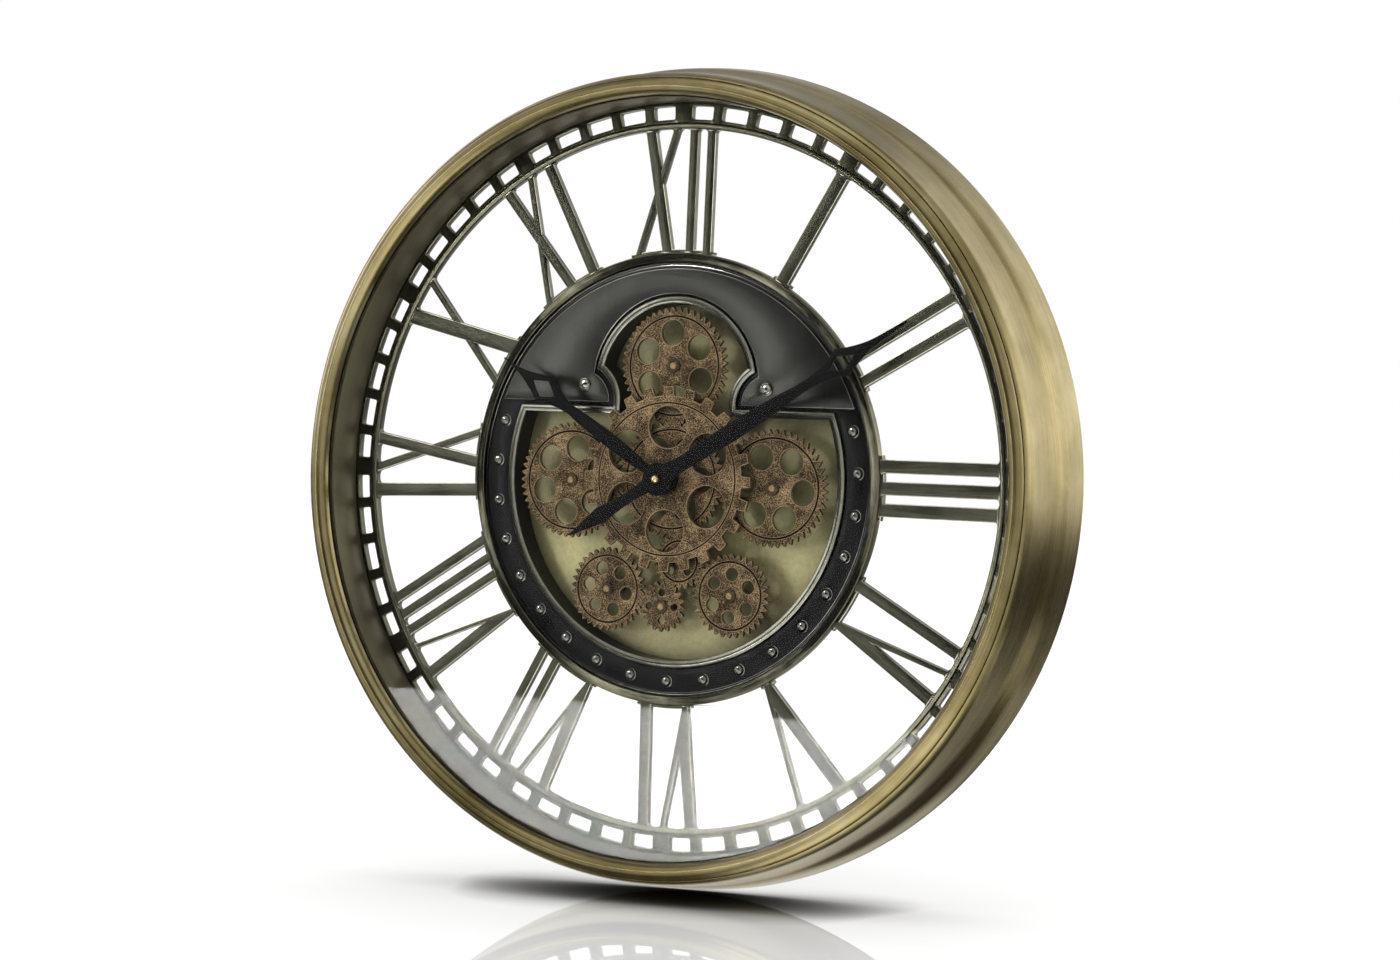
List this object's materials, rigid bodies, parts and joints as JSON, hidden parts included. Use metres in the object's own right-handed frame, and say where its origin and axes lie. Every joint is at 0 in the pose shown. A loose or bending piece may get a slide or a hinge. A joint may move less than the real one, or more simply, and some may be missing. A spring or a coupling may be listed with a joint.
{
  "type": "gear wall clock",
  "caption": "Round open-dial wall clock with a deep brass drum case, roman numerals, a glazed front and a hub window that shows a turning gear train.",
  "frame": {"origin": "centre of the case: on the clock's axis, half way between the front of the bezel and the back edge of the case", "axes": "+Z towards twelve o'clock, -Y out of the glass towards the viewer, +Y towards the wall, +X towards three o'clock"},
  "size_m": [0.6, 0.0804, 0.6],
  "materials": {
    "antique_brass": "brushed, darkened antique brass plating on sheet steel",
    "blackened_bronze": "satin black-bronze paint",
    "olive_gunmetal": "satin rubbed olive gunmetal",
    "olive_brass": "satin rubbed olive brass",
    "black_gunmetal": "satin black gunmetal",
    "khaki_satin": "satin khaki bronze paint",
    "rubbed_copper": "matt speckled copper bronze",
    "black_paint": "matt black",
    "clear_glass": "clear float glass",
    "black_rubber": "matt black",
    "zinc_steel": "zinc plated",
    "bright_brass": "bright turned brass",
    "black_plastic": "matt moulded black",
    "battery_wrap": "gloss shrink wrap"
  },
  "bodies": {
    "clock_frame": {"case_shell": "antique_brass", "front_bezel": "antique_brass", "inner_sleeve": "blackened_bronze", "minute_ring": "olive_gunmetal", "numeral_1": "olive_gunmetal", "numeral_2": "olive_gunmetal", "numeral_3": "olive_gunmetal", "numeral_4": "olive_gunmetal", "numeral_5": "olive_gunmetal", "numeral_6": "olive_gunmetal", "numeral_7": "olive_gunmetal", "numeral_8": "olive_gunmetal", "numeral_9": "olive_gunmetal", "numeral_10": "olive_gunmetal", "numeral_11": "olive_gunmetal", "numeral_12": "olive_gunmetal", "hub_rim": "olive_brass", "hub_plate": "black_gunmetal", "top_plate": "black_gunmetal", "window_frame": "black_gunmetal", "hub_back_cover": "black_gunmetal", "back_plate": "khaki_satin", "glass_pane": "clear_glass", "glass_gasket": "black_rubber", "top_plate_screw_left": "zinc_steel", "top_plate_screw_right": "zinc_steel", "hanger_plate": "zinc_steel", "movement_nut": "bright_brass", "movement_case": "black_plastic", "gear_motor": "black_plastic", "battery_holder": "black_plastic", "movement_battery": "battery_wrap", "gear_battery_1": "battery_wrap", "gear_battery_2": "battery_wrap"},
    "minute_hand": {"minute_hand": "black_paint", "hand_nut": "bright_brass", "minute_arbor": "zinc_steel"},
    "hour_hand": {"hour_hand": "black_paint", "hour_pipe": "bright_brass"},
    "setting_knob": {"setting_knob": "black_plastic"},
    "centre_gears": {"centre_fine_gear": "rubbed_copper", "centre_coarse_gear": "rubbed_copper", "centre_spacer": "rubbed_copper", "centre_tube": "black_paint"},
    "top_gear": {"top_gear": "rubbed_copper", "top_gear_arbor": "rubbed_copper"},
    "left_gear": {"left_gear": "rubbed_copper", "left_gear_arbor": "rubbed_copper"},
    "right_gear": {"right_gear": "rubbed_copper", "right_gear_arbor": "rubbed_copper"},
    "idler_gear": {"idler_gear": "rubbed_copper", "idler_gear_arbor": "rubbed_copper"},
    "lower_right_gear": {"lower_right_gear": "rubbed_copper", "lower_right_gear_arbor": "rubbed_copper"},
    "small_gear": {"small_gear": "rubbed_copper", "small_gear_arbor": "rubbed_copper"},
    "lower_left_gear": {"lower_left_gear": "rubbed_copper", "lower_left_gear_arbor": "rubbed_copper"}
  },
  "joints": [
    {"name": "minute_hand_turn", "type": "hinge", "parent": "clock_frame", "child": "minute_hand", "pos_m": [0, 0, 0], "axis": [0, 1, 0], "continuous": true},
    {"name": "hour_hand_turn", "type": "hinge", "parent": "clock_frame", "child": "hour_hand", "pos_m": [0, 0, 0], "axis": [0, 1, 0], "continuous": true},
    {"name": "setting_knob_turn", "type": "hinge", "parent": "clock_frame", "child": "setting_knob", "pos_m": [0.014, 0, 0.014], "axis": [0, 1, 0], "continuous": true},
    {"name": "centre_gears_turn", "type": "hinge", "parent": "clock_frame", "child": "centre_gears", "pos_m": [0, 0, 0], "axis": [0, 1, 0], "continuous": true},
    {"name": "top_gear_turn", "type": "hinge", "parent": "clock_frame", "child": "top_gear", "pos_m": [0, 0, 0.0816], "axis": [0, 1, 0], "continuous": true},
    {"name": "left_gear_turn", "type": "hinge", "parent": "clock_frame", "child": "left_gear", "pos_m": [-0.08152, 0, -0.00356], "axis": [0, 1, 0], "continuous": true},
    {"name": "right_gear_turn", "type": "hinge", "parent": "clock_frame", "child": "right_gear", "pos_m": [0.08152, 0, -0.00356], "axis": [0, 1, 0], "continuous": true},
    {"name": "idler_gear_turn", "type": "hinge", "parent": "clock_frame", "child": "idler_gear", "pos_m": [0.00869, 0, -0.05886], "axis": [0, 1, 0], "continuous": true},
    {"name": "lower_right_gear_turn", "type": "hinge", "parent": "clock_frame", "child": "lower_right_gear", "pos_m": [0.05052, 0, -0.08157], "axis": [0, 1, 0], "continuous": true},
    {"name": "small_gear_turn", "type": "hinge", "parent": "clock_frame", "child": "small_gear", "pos_m": [-0.00422, 0, -0.09215], "axis": [0, 1, 0], "continuous": true},
    {"name": "lower_left_gear_turn", "type": "hinge", "parent": "clock_frame", "child": "lower_left_gear", "pos_m": [-0.0489, 0, -0.08166], "axis": [0, 1, 0], "continuous": true}
  ],
  "couplings": [
    {"joint": "hour_hand_turn", "follows": "minute_hand_turn", "ratio": 0.083333},
    {"joint": "setting_knob_turn", "follows": "minute_hand_turn", "ratio": -1},
    {"joint": "top_gear_turn", "follows": "centre_gears_turn", "ratio": -1},
    {"joint": "left_gear_turn", "follows": "centre_gears_turn", "ratio": -1},
    {"joint": "right_gear_turn", "follows": "centre_gears_turn", "ratio": -1},
    {"joint": "idler_gear_turn", "follows": "centre_gears_turn", "ratio": -2.1818},
    {"joint": "lower_right_gear_turn", "follows": "centre_gears_turn", "ratio": 1.4118},
    {"joint": "small_gear_turn", "follows": "centre_gears_turn", "ratio": 2.4},
    {"joint": "lower_left_gear_turn", "follows": "centre_gears_turn", "ratio": -1.4118}
  ]
}
